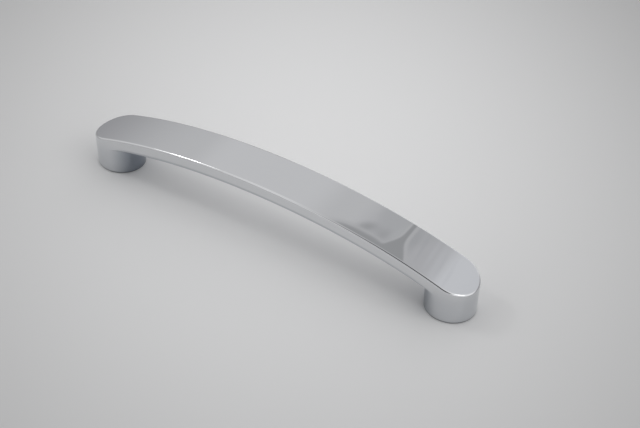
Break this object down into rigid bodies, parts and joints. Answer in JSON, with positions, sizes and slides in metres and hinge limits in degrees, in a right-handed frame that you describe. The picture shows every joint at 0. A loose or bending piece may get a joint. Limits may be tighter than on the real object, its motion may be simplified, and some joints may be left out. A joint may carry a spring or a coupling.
{
  "type": "cabinet handle",
  "caption": "One-piece polished chrome bow handle: a flat-topped arched bar with round ends on short round feet, screwed on from behind.",
  "frame": {"origin": "on the base plane of the feet, half way between the two screw holes", "axes": "+X along the bar, +Y across it, +Z away from the door or drawer front"},
  "size_m": [0.181, 0.021, 0.028],
  "materials": {
    "chrome": "polished chrome plate"
  },
  "bodies": {
    "root": {"handle": "chrome"}
  },
  "joints": []
}
